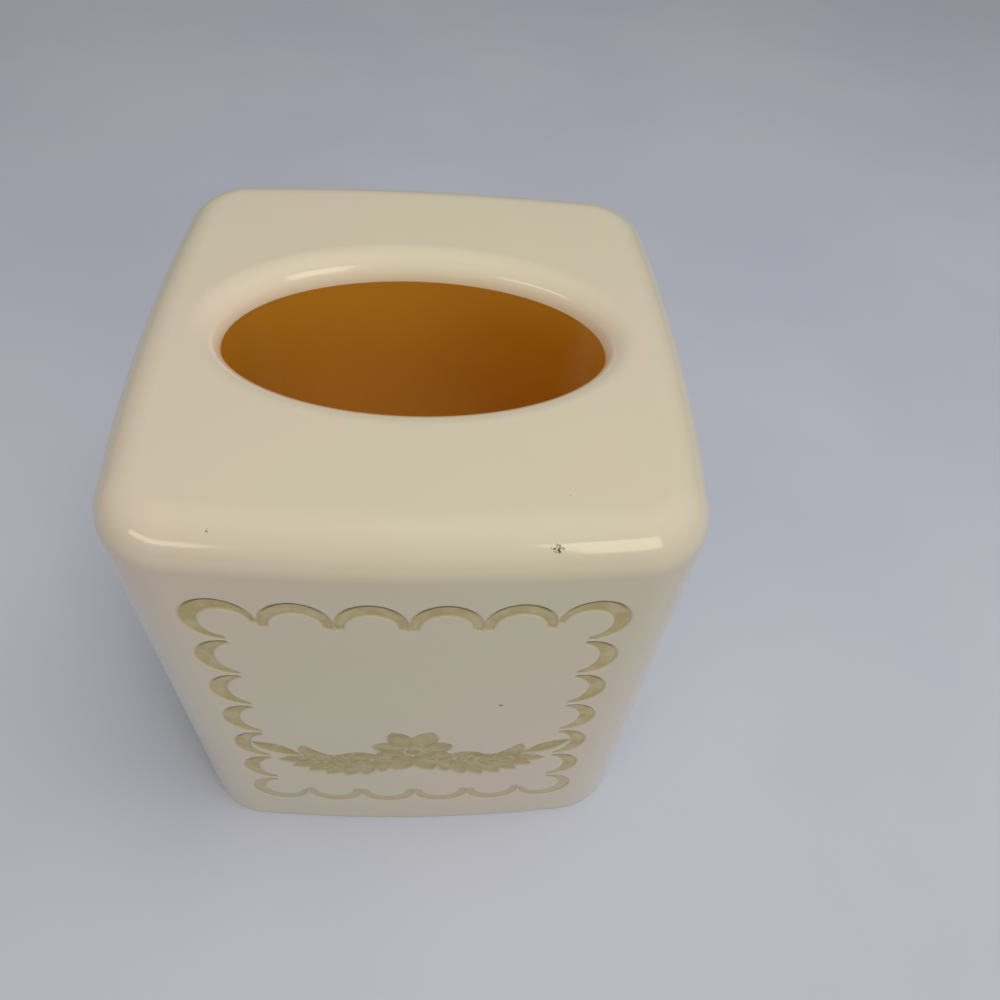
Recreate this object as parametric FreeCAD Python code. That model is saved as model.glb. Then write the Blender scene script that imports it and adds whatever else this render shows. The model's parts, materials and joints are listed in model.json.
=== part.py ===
"""Tissue box cover for an upright carton: a one-piece ivory moulding over a loose base.

The cover is a square shell with slightly bowed sides, round upright corners, a rounded
top edge and an oval mouth whose edge turns down into a lip. Its front carries a
scalloped frame and a leaf garland, sunk into the wall and gilt on the floor of each
groove. The base is a shallow tray that stands inside the foot of the cover and carries
the carton.

Frame: +Z up, the front faces -Y, origin at the centre of the foot. Millimetres.
"""
import FreeCAD
import Part

import math
import os

# Cover: outside form and walls
foot_width = 135.0
height = 144.0
draft_deg = 1.2
side_radius = 510.0
corner_radius = 20.0
top_round = 10.5
foot_edge_round = 0.8
wall = 3.0
top_wall = 3.0

# Oval mouth in the top: margins to the outside of the top, and its turned-down lip
mouth_side_margin = 18.9
mouth_front_margin = 38.7
lip_round = 6.5
lip_land = 0.7
lip_wall = 3.0

# Loose base inside the foot
base_clearance = 0.5
base_floor = 2.0
base_wall = 2.0
base_height = 9.0
base_inner_round = 1.5
crush_rib_width = 3.0
crush_rib_margin = 9.0
crush_rib_gap = 0.1

# Grooves of the ornament, and the gilt film on their floors
groove_depth = 0.45
gilt_thickness = 0.12
gilt_gap = 0.03

# Scalloped frame on the front: margins to the cover's outside, and lobes per side
frame_side_margin = 20.8
frame_top_margin = 18.1
frame_bottom_margin = 15.5
lobes_across = 6
lobes_down = 7

# Scallops of the upper and lower rows
row_gap = 0.6
row_half_angle = 103.0
row_crown = 3.2
row_tip = 1.4

# Scallops of the two upright columns
column_gap = 1.6
column_half_angle = 96.0
column_crown = 3.6
column_tip = 0.5

# Lobes on the four corners
corner_lobe_gap = 0.4
corner_half_angle = 134.0
corner_crown = 3.5
corner_tip = 0.7

# Flower at the middle of the garland
flower_rise = 37.0
petal_count = 8
petal_root = 2.7
petal_width = 6.2
tall_petal_reach = 13.2
side_petal_reach = 11.0
flower_eye_radius = 1.9

# Leaf swags either side of the flower
swag_start = 9.0
swag_end_margin = 15.9
swag_drop = 8.5
swag_rise = 5.4
leaf_spacing = 3.1
leaf_length = 10.4
leaf_width = 4.4
outer_leaf_size = 0.8
end_leaf_length = 13.0
end_leaf_sag = 14.0
leaf_splay = 46.0
leaf_vein = 0.3

# Sizes that follow from those above
draft_slope = math.tan(math.radians(draft_deg))
foot_half = foot_width / 2.0
top_width = foot_width - 2.0 * height * draft_slope
side_offset = side_radius - foot_half
corner_reach = side_radius - corner_radius
corner_place = (math.sqrt(2.0 * corner_reach ** 2 - side_offset ** 2) - side_offset) / 2.0
side_turn = math.degrees(math.atan2(corner_place, corner_place + side_offset))
mouth_length = top_width - 2.0 * mouth_side_margin
mouth_width = top_width - 2.0 * mouth_front_margin
cavity_top = height - top_wall
lip_bottom = height - lip_round - lip_land
base_inset = wall + base_clearance
frame_half = foot_half - frame_side_margin
frame_top = height - frame_top_margin
lobe_pitch_across = 2.0 * frame_half / lobes_across
lobe_pitch_down = (frame_top - frame_bottom_margin) / lobes_down
corner_lobe_radius = (min(lobe_pitch_across, lobe_pitch_down) - corner_lobe_gap) / 2.0
flower_height = frame_bottom_margin + flower_rise
swag_end = frame_half - swag_end_margin

# Allowances for cutting tools and for comparing heights
tool_overrun = 1.0
touch = 1e-4
same_length = 0.01


def at_angle(radius, degrees_from_up):
    """Point at a radius, turned clockwise from the local up direction."""
    turn = math.radians(degrees_from_up)
    return FreeCAD.Vector(radius * math.sin(turn), radius * math.cos(turn), 0)


def plan_wire(inset, z):
    """Bowed, round-cornered square of the drafted wall at height z, moved in by inset.

    Each side is a shallow arc, and the corner arcs touch the arcs of the sides.
    """
    shrink = inset + z * draft_slope
    side_centre = FreeCAD.Vector(0, -side_offset, z)
    corner_centre = FreeCAD.Vector(corner_place, corner_place, z)
    quarter = [
        side_centre + at_angle(side_radius - shrink, -side_turn),
        side_centre + at_angle(side_radius - shrink, 0),
        side_centre + at_angle(side_radius - shrink, side_turn),
        corner_centre + at_angle(corner_radius - shrink, 45.0),
        corner_centre + at_angle(corner_radius - shrink, 90.0 - side_turn),
    ]
    edges = []
    for side in range(4):
        turn = FreeCAD.Rotation(FreeCAD.Vector(0, 0, 1), -90.0 * side)
        start, crest, bend, middle, end = [turn.multVec(point) for point in quarter]
        edges.append(Part.Arc(start, crest, bend).toShape())
        edges.append(Part.Arc(bend, middle, end).toShape())
    return Part.Wire(edges)


def drafted_block(inset, z_low, z_high):
    """Solid between two heights whose walls lie inset from the cover's outside."""
    wires = [plan_wire(inset, z_low), plan_wire(inset, z_high)]
    return Part.makeLoft(wires, True, True)


def edges_at(shape, z):
    """Edges of a shape that lie flat at height z."""
    def lies_at(edge):
        box = edge.BoundBox
        return abs(box.ZMin - z) < touch and abs(box.ZMax - z) < touch
    return [edge for edge in shape.Edges if lies_at(edge)]


def oval_prism(grow, z_low, z_high):
    """Upright prism on the mouth's ellipse, grown outwards."""
    major = mouth_length / 2.0 + grow
    minor = mouth_width / 2.0 + grow
    ellipse = Part.Ellipse(FreeCAD.Vector(0, 0, z_low), major, minor)
    face = Part.Face(Part.Wire([ellipse.toShape()]))
    return face.extrude(FreeCAD.Vector(0, 0, z_high - z_low))


def oval_edges(shape, grow, z):
    """Edges at height z that run round the mouth's ellipse, grown outwards."""
    length = mouth_length + 2.0 * grow
    return [edge for edge in edges_at(shape, z) if abs(edge.BoundBox.XLength - length) < same_length]


def plain_shell():
    """The cover's moulding before the ornament is sunk into it."""
    outside = drafted_block(0.0, 0.0, height)
    outside = outside.makeFillet(top_round, edges_at(outside, height))
    outside = outside.makeFillet(foot_edge_round, edges_at(outside, 0.0))
    cavity = drafted_block(wall, -tool_overrun, cavity_top)
    cavity = cavity.makeFillet(top_round - wall, edges_at(cavity, cavity_top))
    shell = outside.cut(cavity)
    collar = oval_prism(lip_wall, lip_bottom, height - top_wall / 2.0)
    shell = shell.fuse(collar).removeSplitter()
    shell = shell.cut(oval_prism(0.0, lip_bottom - tool_overrun, height + tool_overrun))
    shell = shell.makeFillet(lip_round, oval_edges(shell, 0.0, height))
    return shell.makeFillet(lip_round - lip_wall, oval_edges(shell, lip_wall, cavity_top))


def base_plate():
    """Shallow tray with crush ribs, two to a side, that centre it in the cover's foot."""
    tray = drafted_block(base_inset, 0.0, base_height)
    ribs = drafted_block(wall + crush_rib_gap, 0.0, base_height)
    rib_place = foot_half - corner_radius - crush_rib_margin
    bars = []
    for across in (-rib_place, rib_place):
        corner = FreeCAD.Vector(across - crush_rib_width / 2.0, -foot_half, 0)
        bar = Part.makeBox(crush_rib_width, foot_width, base_height, corner)
        bars.append(bar)
        bars.append(bar.rotated(FreeCAD.Vector(), FreeCAD.Vector(0, 0, 1), 90.0))
    tray = tray.fuse([ribs.common(bar) for bar in bars]).removeSplitter()
    hollow = drafted_block(base_inset + base_wall, base_floor, base_height + tool_overrun)
    hollow = hollow.makeFillet(base_inner_round, edges_at(hollow, base_floor))
    return tray.cut(hollow)


def crescent(radius, half_angle, crown, tip, inset):
    """Face between an outer arc about the local origin and a flatter inner arc.

    It is crown thick at the top and tip thick at its two ends, and its outline is
    drawn in by inset.
    """
    outer = radius - inset
    spread = half_angle - math.degrees(inset / radius)
    inner_end = outer - (tip - 2.0 * inset)
    inner_crown = outer - (crown - 2.0 * inset)
    start, end = at_angle(outer, -spread), at_angle(outer, spread)
    inner_start, inner_stop = at_angle(inner_end, spread), at_angle(inner_end, -spread)
    edges = [
        Part.Arc(start, at_angle(outer, 0), end).toShape(),
        Part.LineSegment(end, inner_start).toShape(),
        Part.Arc(inner_start, at_angle(inner_crown, 0), inner_stop).toShape(),
        Part.LineSegment(inner_stop, start).toShape(),
    ]
    return Part.Face(Part.Wire(edges))


def leaf(length, width, inset):
    """Pointed leaf between two equal arcs, from the local origin upwards, drawn in by inset."""
    half_length = length / 2.0
    half_width = width / 2.0
    radius = (half_length ** 2 + half_width ** 2) / (2.0 * half_width)
    reach = math.sqrt((radius - inset) ** 2 - (radius - half_width) ** 2)
    root = FreeCAD.Vector(0, half_length - reach, 0)
    point = FreeCAD.Vector(0, half_length + reach, 0)
    side = FreeCAD.Vector(half_width - inset, half_length, 0)
    far_side = FreeCAD.Vector(inset - half_width, half_length, 0)
    edges = [Part.Arc(root, side, point).toShape(), Part.Arc(point, far_side, root).toShape()]
    return Part.Face(Part.Wire(edges))


def put(face, across, up, clockwise):
    """Turn a flat outline clockwise about the local origin and move it on the front."""
    turn = FreeCAD.Rotation(FreeCAD.Vector(0, 0, 1), -clockwise)
    face.Placement = FreeCAD.Placement(FreeCAD.Vector(across, up, 0), turn)
    return face


def inner_places(count, pitch):
    """Places, about the middle, of the lobes between the two end ones of a side."""
    return [(index - (count - 1) / 2.0) * pitch for index in range(1, count - 1)]


def scallop_row(upper, inset):
    """Scallops along the top or bottom of the frame, between its corner lobes."""
    radius = (lobe_pitch_across - row_gap) / 2.0
    if upper:
        up, turn = frame_top - radius, 0.0
    else:
        up, turn = frame_bottom_margin + radius, 180.0
    return [
        put(crescent(radius, row_half_angle, row_crown, row_tip, inset), across, up, turn)
        for across in inner_places(lobes_across, lobe_pitch_across)
    ]


def scallop_column(side, inset):
    """Scallops down the left (-1) or right (+1) of the frame, between its corner lobes."""
    radius = (lobe_pitch_down - column_gap) / 2.0
    across = side * (frame_half - radius)
    middle = (frame_top + frame_bottom_margin) / 2.0
    return [
        put(
            crescent(radius, column_half_angle, column_crown, column_tip, inset),
            across, middle + place, side * 90.0,
        )
        for place in inner_places(lobes_down, lobe_pitch_down)
    ]


def corner_lobes(inset):
    """The four lobes on the frame's corners, each thickest on its outer diagonal."""
    across = frame_half - corner_lobe_radius
    high = frame_top - corner_lobe_radius
    low = frame_bottom_margin + corner_lobe_radius
    corners = [(across, high, 45.0), (across, low, 135.0), (-across, low, 225.0), (-across, high, 315.0)]
    return [
        put(crescent(corner_lobe_radius, corner_half_angle, corner_crown, corner_tip, inset), *corner)
        for corner in corners
    ]


def lay(leaves, covers, inset):
    """Faces of leaves, each cut back by the width of a vein from what lies over it.

    A leaf is its length, width, place across and up, and turn. Each leaf lies over those
    after it, and the covers lie over all of them.
    """
    covers = list(covers)
    faces = []
    for length, width, across, up, turn in leaves:
        face = put(leaf(length, width, inset), across, up, turn)
        for cover in covers:
            face = face.cut(cover)
        faces.append(max(face.Faces, key=lambda piece: piece.Area))
        covers.append(put(leaf(length, width, -leaf_vein - inset), across, up, turn))
    return faces


def flower_eye(inset):
    """Round eye of the flower, drawn in by inset."""
    centre = FreeCAD.Vector(0, flower_height, 0)
    eye = Part.Circle(centre, FreeCAD.Vector(0, 0, 1), flower_eye_radius - inset)
    return Part.Face(Part.Wire([eye.toShape()]))


def flower(inset):
    """Eye and petals: the upper and lower petals reach further than those at the sides."""
    petals = []
    for index in range(petal_count):
        turn = (index + 0.5) * 360.0 / petal_count
        upright = abs(math.cos(math.radians(turn))) > math.sqrt(0.5)
        reach = tall_petal_reach if upright else side_petal_reach
        root = at_angle(petal_root, turn)
        petals.append((reach - petal_root, petal_width, root.x, flower_height + root.y, turn))
    return [flower_eye(inset)] + lay(petals, [flower_eye(-leaf_vein - inset)], inset)


def swag(side, inset):
    """Leaves of the left (-1) or right (+1) swag, clear of the flower and the frame.

    The stem is a parabola that sags between its two ends. A pair of leaves splays from
    each station of it, smaller towards the tip, and one long leaf ends it, flatter than the stem.
    """
    middle = (swag_start + swag_end) / 2.0
    half_span = (swag_end - swag_start) / 2.0
    stations = round(2.0 * half_span / leaf_spacing)
    leaves = []
    for station in range(stations, -1, -1):
        along = station / stations
        lean = 2.0 * along - 1.0
        across = side * (middle + half_span * lean)
        up = flower_height - swag_drop + swag_rise * lean ** 2
        heading = 90.0 - math.degrees(math.atan(2.0 * swag_rise * lean / half_span))
        if station == stations:
            leaves.append((end_leaf_length, leaf_width, across, up, side * (heading + end_leaf_sag)))
            continue
        size = 1.0 - (1.0 - outer_leaf_size) * along
        for splay in (-leaf_splay, leaf_splay):
            leaves.append((leaf_length * size, leaf_width * size, across, up, side * (heading + splay)))
    margin = -leaf_vein - inset
    return lay(leaves, flower(margin) + scallop_column(side, margin), inset)


def through_front(faces):
    """Prisms of flat outlines, square to the middle of the front and past its bowed wall."""
    lean = FreeCAD.Rotation(FreeCAD.Vector(1, 0, 0), 90.0 - draft_deg)
    front = FreeCAD.Placement(FreeCAD.Vector(0, -foot_half, 0), lean).toMatrix()
    inwards = FreeCAD.Vector(0, 0, -corner_radius)
    outwards = FreeCAD.Vector(0, 0, corner_radius + tool_overrun)
    return [face.translated(inwards).extrude(outwards).transformed(front, True) for face in faces]


ornament = {
    "gilt_scallops_top": lambda inset: scallop_row(True, inset),
    "gilt_scallops_bottom": lambda inset: scallop_row(False, inset),
    "gilt_scallops_left": lambda inset: scallop_column(-1, inset),
    "gilt_scallops_right": lambda inset: scallop_column(1, inset),
    "gilt_corner_lobes": corner_lobes,
    "gilt_flower": flower,
    "gilt_garland_left": lambda inset: swag(-1, inset),
    "gilt_garland_right": lambda inset: swag(1, inset),
}

# Groove floors and gilt follow the wall's own surface, also where the frame reaches its round corners
groove_floor = drafted_block(groove_depth, 0.0, height)
gilt_face = drafted_block(groove_depth - gilt_thickness, 0.0, height)
gilt_skin = gilt_face.cut(groove_floor)

nodes = {"base_plate": base_plate()}
grooves = []
for name, outlines in ornament.items():
    grooves += [prism.cut(groove_floor) for prism in through_front(outlines(0.0))]
    films = [prism.common(gilt_skin) for prism in through_front(outlines(gilt_gap))]
    nodes[name] = Part.makeCompound([film.Solids[0] for film in films])
nodes["cover_shell"] = plain_shell().cut(Part.makeCompound(grooves))

os.makedirs("parts", exist_ok=True)
for name, shape in nodes.items():
    print(name, len(shape.Solids), "solids, valid", shape.isValid(), "volume", round(shape.Volume, 2))
    shape.exportStep("parts/" + name + ".step")
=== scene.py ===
"""Looks of a tissue box cover: an ivory moulding with a sunk, gold-washed ornament.

The cover's moulding is worked out here as one closed surface, a profile carried round the
plan. The gold wash and the loose base are the frame's own nodes in new finishes. Metres, +Z
up, the front faces -Y, origin at the centre of the foot.
"""

import json
import logging
import math
from dataclasses import dataclass
from enum import Enum
from typing import Any

import bpy
import numpy as np
from mathutils import Matrix, Vector

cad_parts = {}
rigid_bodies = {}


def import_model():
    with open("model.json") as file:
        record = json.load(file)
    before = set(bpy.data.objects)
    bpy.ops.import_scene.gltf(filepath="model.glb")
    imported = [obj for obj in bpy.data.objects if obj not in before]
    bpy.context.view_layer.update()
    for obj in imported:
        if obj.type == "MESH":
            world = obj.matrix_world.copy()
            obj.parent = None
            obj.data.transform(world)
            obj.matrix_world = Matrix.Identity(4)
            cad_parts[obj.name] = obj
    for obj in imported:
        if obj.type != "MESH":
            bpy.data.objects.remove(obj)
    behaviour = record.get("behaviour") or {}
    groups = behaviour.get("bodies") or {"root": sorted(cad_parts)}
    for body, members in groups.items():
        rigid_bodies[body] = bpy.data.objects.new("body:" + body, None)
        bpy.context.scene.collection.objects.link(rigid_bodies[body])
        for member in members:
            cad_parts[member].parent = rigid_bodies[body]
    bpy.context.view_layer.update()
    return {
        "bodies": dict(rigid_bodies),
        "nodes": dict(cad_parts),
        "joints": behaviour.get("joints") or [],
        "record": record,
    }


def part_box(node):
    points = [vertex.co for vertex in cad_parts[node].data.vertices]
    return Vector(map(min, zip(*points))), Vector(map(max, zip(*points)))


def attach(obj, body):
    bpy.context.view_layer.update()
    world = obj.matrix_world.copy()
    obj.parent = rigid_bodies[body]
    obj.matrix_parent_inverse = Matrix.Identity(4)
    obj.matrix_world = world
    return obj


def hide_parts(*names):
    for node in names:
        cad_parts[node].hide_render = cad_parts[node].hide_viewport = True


LOG = logging.getLogger("tissue_box_cover")
MM = 0.001
FOOT_WIDTH = 135 * MM
# Above this share of inside the painted amber light begins; below it lies the painted glow of the lip.
LIP_SHARE = 0.3  # share of inside at the lip's lower edge, above which the amber begins
Colour = tuple[float, float, float, float]
Point = tuple[float, float, float]


class Body(str, Enum):
    """Bodies of the frame that a piece can ride on."""

    BASE = "base"
    COVER = "cover"


class Slot(str, Enum):
    """Material slots of the record."""

    IVORY = "ivory_plastic"
    GILT = "gilt"


class Side(Enum):
    """The two sides of the ornament, by the sign of x."""

    LEFT = -1
    RIGHT = 1


def srgb(red: int, green: int, blue: int) -> Colour:
    """Turn a display colour into the linear colour that shaders take.

    Args:
        red: Red from 0 to 255.
        green: Green from 0 to 255.
        blue: Blue from 0 to 255.

    Returns:
        Linear red, green and blue, and an alpha of 1.
    """
    share = np.array((red, green, blue)) / 255.0
    linear = np.where(share <= 0.04045, share / 12.92, ((share + 0.055) / 1.055) ** 2.4)
    return (*linear.tolist(), 1.0)


class NodeSheet:
    """Adds nodes to one node tree and wires them by the names of their sockets."""

    def __init__(self, tree: bpy.types.NodeTree) -> None:
        """Keep the tree that the nodes go into."""
        self.tree = tree

    def add(self, kind: str, inputs: dict[Any, Any] | None = None, **settings: Any) -> bpy.types.Node:
        """Add a node, set its properties and fill its inputs.

        Args:
            kind: Node type without its "ShaderNode", or a whole type name that starts with "Node".
            inputs: Socket name or index, with a value or with the socket that feeds it.
            **settings: Properties of the node, such as its operation.

        Returns:
            The new node.
        """
        node = self.tree.nodes.new(kind if kind.startswith("Node") else "ShaderNode" + kind)
        for key, value in settings.items():
            setattr(node, key, value)
        for key, value in (inputs or {}).items():
            self.feed(node, key, value)
        return node

    def feed(self, node: bpy.types.Node, key: Any, value: Any) -> None:
        """Set one input of a node to a value, or link it to the socket that feeds it."""
        if isinstance(value, bpy.types.NodeSocket):
            self.tree.links.new(value, node.inputs[key])
        else:
            node.inputs[key].default_value = value

    def effect(self, tree: bpy.types.NodeTree, **inputs: Any) -> bpy.types.NodeSocket:
        """Place a shared effect, fill its inputs and return its output."""
        return self.add("Group", inputs, node_tree=tree).outputs[0]

    def mix(self, share: Any, below: Any, above: Any) -> bpy.types.NodeSocket:
        """Mix two colours by a share."""
        return self.add("Mix", {0: share, 6: below, 7: above}, data_type="RGBA").outputs[2]

    def maths(self, operation: str, *values: Any) -> bpy.types.NodeSocket:
        """Work out one value from one or two others."""
        return self.add("Math", dict(enumerate(values)), operation=operation).outputs[0]

    def ramp(self, value: Any, start: float, end: float) -> bpy.types.NodeSocket:
        """Rise smoothly from 0 at start to 1 at end."""
        inputs = {"Value": value, "From Min": start, "From Max": end}
        return self.add("MapRange", inputs, interpolation_type="SMOOTHSTEP").outputs[0]

    def blend(self, share: Any, low: float, high: float) -> bpy.types.NodeSocket:
        """Go from low to high as a share goes from 0 to 1."""
        return self.add("MapRange", {"Value": share, "To Min": low, "To Max": high}).outputs[0]

    def noise(self, place: Any, scale: Any, detail: float) -> bpy.types.NodeSocket:
        """Noise from 0 to 1 at a place, with a number of features to the metre."""
        return self.add("TexNoise", {"Vector": place, "Scale": scale, "Detail": detail}).outputs[0]

    def attribute(self, name: str) -> bpy.types.NodeSocket:
        """Read one of the values that a mesh carries; it is 0 on a mesh without it."""
        return self.add("Attribute", attribute_name=name).outputs["Fac"]

    def height(self, place: Any) -> bpy.types.NodeSocket:
        """Height of a place above the foot."""
        return self.add("SeparateXYZ", {0: place}).outputs["Z"]

    def roughen(self, shader: bpy.types.Node, relief: Any, strength: float, depth: float) -> None:
        """Make a shader's surface uneven by a relief, with a strength and a depth."""
        bump = self.add("Bump", {"Strength": strength, "Distance": depth, "Height": relief})
        self.feed(shader, "Normal", bump.outputs[0])


class Effect(Enum):
    """Shared effects that a finish can place."""

    MOTTLE = "slow mottle"
    SPECKS = "specks"
    HAIRLINES = "hairlines"
    SCUFF = "scuff"
    # Painted shade under the upper edges of lobes.
    POOL = "pooled edge"


class Effects:
    """The shader node groups that the finishes place, each built once."""

    def __init__(self) -> None:
        """Build every group."""
        self.trees = {
            Effect.MOTTLE: self.mottle(),
            Effect.SPECKS: self.specks(),
            Effect.HAIRLINES: self.hairlines(),
            Effect.SCUFF: self.scuff(),
            Effect.POOL: self.pool(),
        }

    def __getitem__(self, effect: Effect) -> bpy.types.NodeTree:
        """Give the node group of an effect."""
        return self.trees[effect]

    @staticmethod
    def start(effect: Effect, output: str, **inputs: str) -> tuple[NodeSheet, Any, bpy.types.Node]:
        """Start a group with named sockets.

        Args:
            effect: The effect that the group gives.
            output: Kind of its one output, such as "Float" or "Color".
            **inputs: Name and kind of each input.

        Returns:
            The sheet to add nodes on, the group's given values and its output node.
        """
        tree = bpy.data.node_groups.new(effect.value, "ShaderNodeTree")
        for label, kind in inputs.items():
            tree.interface.new_socket(label, in_out="INPUT", socket_type="NodeSocket" + kind)
        tree.interface.new_socket("Result", in_out="OUTPUT", socket_type="NodeSocket" + output)
        sheet = NodeSheet(tree)
        return sheet, sheet.add("NodeGroupInput").outputs, sheet.add("NodeGroupOutput")

    def mottle(self) -> bpy.types.NodeTree:
        """Build a slow drift of colour between two shades."""
        kinds = {"Place": "Vector", "First": "Color", "Second": "Color", "Scale": "Float"}
        sheet, given, out = self.start(Effect.MOTTLE, "Color", **kinds)
        share = sheet.ramp(sheet.noise(given["Place"], given["Scale"], 3.0), 0.32, 0.68)
        sheet.feed(out, 0, sheet.mix(share, given["First"], given["Second"]))
        return sheet.tree

    def specks(self) -> bpy.types.NodeTree:
        """Build sparse specks: a few of the cells of a grid each hold one round dot."""
        kinds = {"Place": "Vector", "Cells": "Float", "Rarity": "Float", "Radius": "Float"}
        sheet, given, out = self.start(Effect.SPECKS, "Float", **kinds)
        cells = sheet.add("TexVoronoi", {"Vector": given["Place"], "Scale": given["Cells"]})
        chance = sheet.add("SeparateColor", {"Color": cells.outputs["Color"]}).outputs[0]
        chosen = sheet.maths("GREATER_THAN", chance, given["Rarity"])
        dot = sheet.ramp(sheet.maths("SUBTRACT", given["Radius"], cells.outputs["Distance"]), 0.0, 0.03)
        sheet.feed(out, 0, sheet.maths("MULTIPLY", chosen, dot))
        return sheet.tree

    def hairlines(self) -> bpy.types.NodeTree:
        """Build fine scratches: the middle level of a stretched noise, in patches."""
        kinds = {"Place": "Vector", "Turn": "Vector", "Stretch": "Vector"}
        sheet, given, out = self.start(Effect.HAIRLINES, "Float", **kinds)
        inputs = {"Vector": given["Place"], "Rotation": given["Turn"], "Scale": given["Stretch"]}
        wave = sheet.noise(sheet.add("Mapping", inputs).outputs[0], 1.0, 1.0)
        level = sheet.maths("ABSOLUTE", sheet.maths("SUBTRACT", wave, 0.5))
        patches = sheet.ramp(sheet.noise(given["Place"], 42.0, 2.0), 0.56, 0.7)
        sheet.feed(out, 0, sheet.maths("MULTIPLY", sheet.ramp(level, 0.012, 0.0), patches))
        return sheet.tree

    def scuff(self) -> bpy.types.NodeTree:
        """Build one ragged mark about a place, longer one way than the other."""
        kinds = {"Place": "Vector", "Centre": "Vector", "Reach": "Vector"}
        sheet, given, out = self.start(Effect.SCUFF, "Float", **kinds)
        away = sheet.add("VectorMath", {0: given["Place"], 1: given["Centre"]}, operation="SUBTRACT")
        shares = sheet.add("VectorMath", {0: away.outputs[0], 1: given["Reach"]}, operation="DIVIDE")
        length = sheet.add("VectorMath", {0: shares.outputs[0]}, operation="LENGTH").outputs["Value"]
        ragged = sheet.maths("MULTIPLY", sheet.noise(given["Place"], 1500.0, 3.0), 1.7)
        sheet.feed(out, 0, sheet.ramp(sheet.maths("SUBTRACT", ragged, length), 0.05, 0.35))
        return sheet.tree

    def pool(self) -> bpy.types.NodeTree:
        """Build painted shade: a line along the inner side of a circle's upper edge, where the groove's
        upper wall shades it.
        """
        kinds = {"Aside": "Float", "Above": "Float", "Radius": "Float"}
        sheet, given, out = self.start(Effect.POOL, "Float", **kinds)
        arm = sheet.add("CombineXYZ", {0: given["Aside"], 1: given["Above"]}).outputs[0]
        length = sheet.add("VectorMath", {0: arm}, operation="LENGTH").outputs["Value"]
        near = sheet.ramp(sheet.maths("SUBTRACT", given["Radius"], length), 0.8 * MM, 0.3 * MM)
        raised = sheet.ramp(sheet.maths("DIVIDE", given["Above"], given["Radius"]), 0.35, 0.8)
        sheet.feed(out, 0, sheet.maths("MULTIPLY", near, raised))
        return sheet.tree


def new_material(name: str) -> tuple[bpy.types.Material, NodeSheet, bpy.types.Node]:
    """Start a material and give it, the sheet of its nodes and its main shader."""
    material = bpy.data.materials.new(name)
    material.use_nodes = True
    return material, NodeSheet(material.node_tree), material.node_tree.nodes["Principled BSDF"]


@dataclass(frozen=True)
class Scuff:
    """One dark scuff on the moulding: its place and how far it reaches each way."""

    centre: Point
    reach: Point


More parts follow.
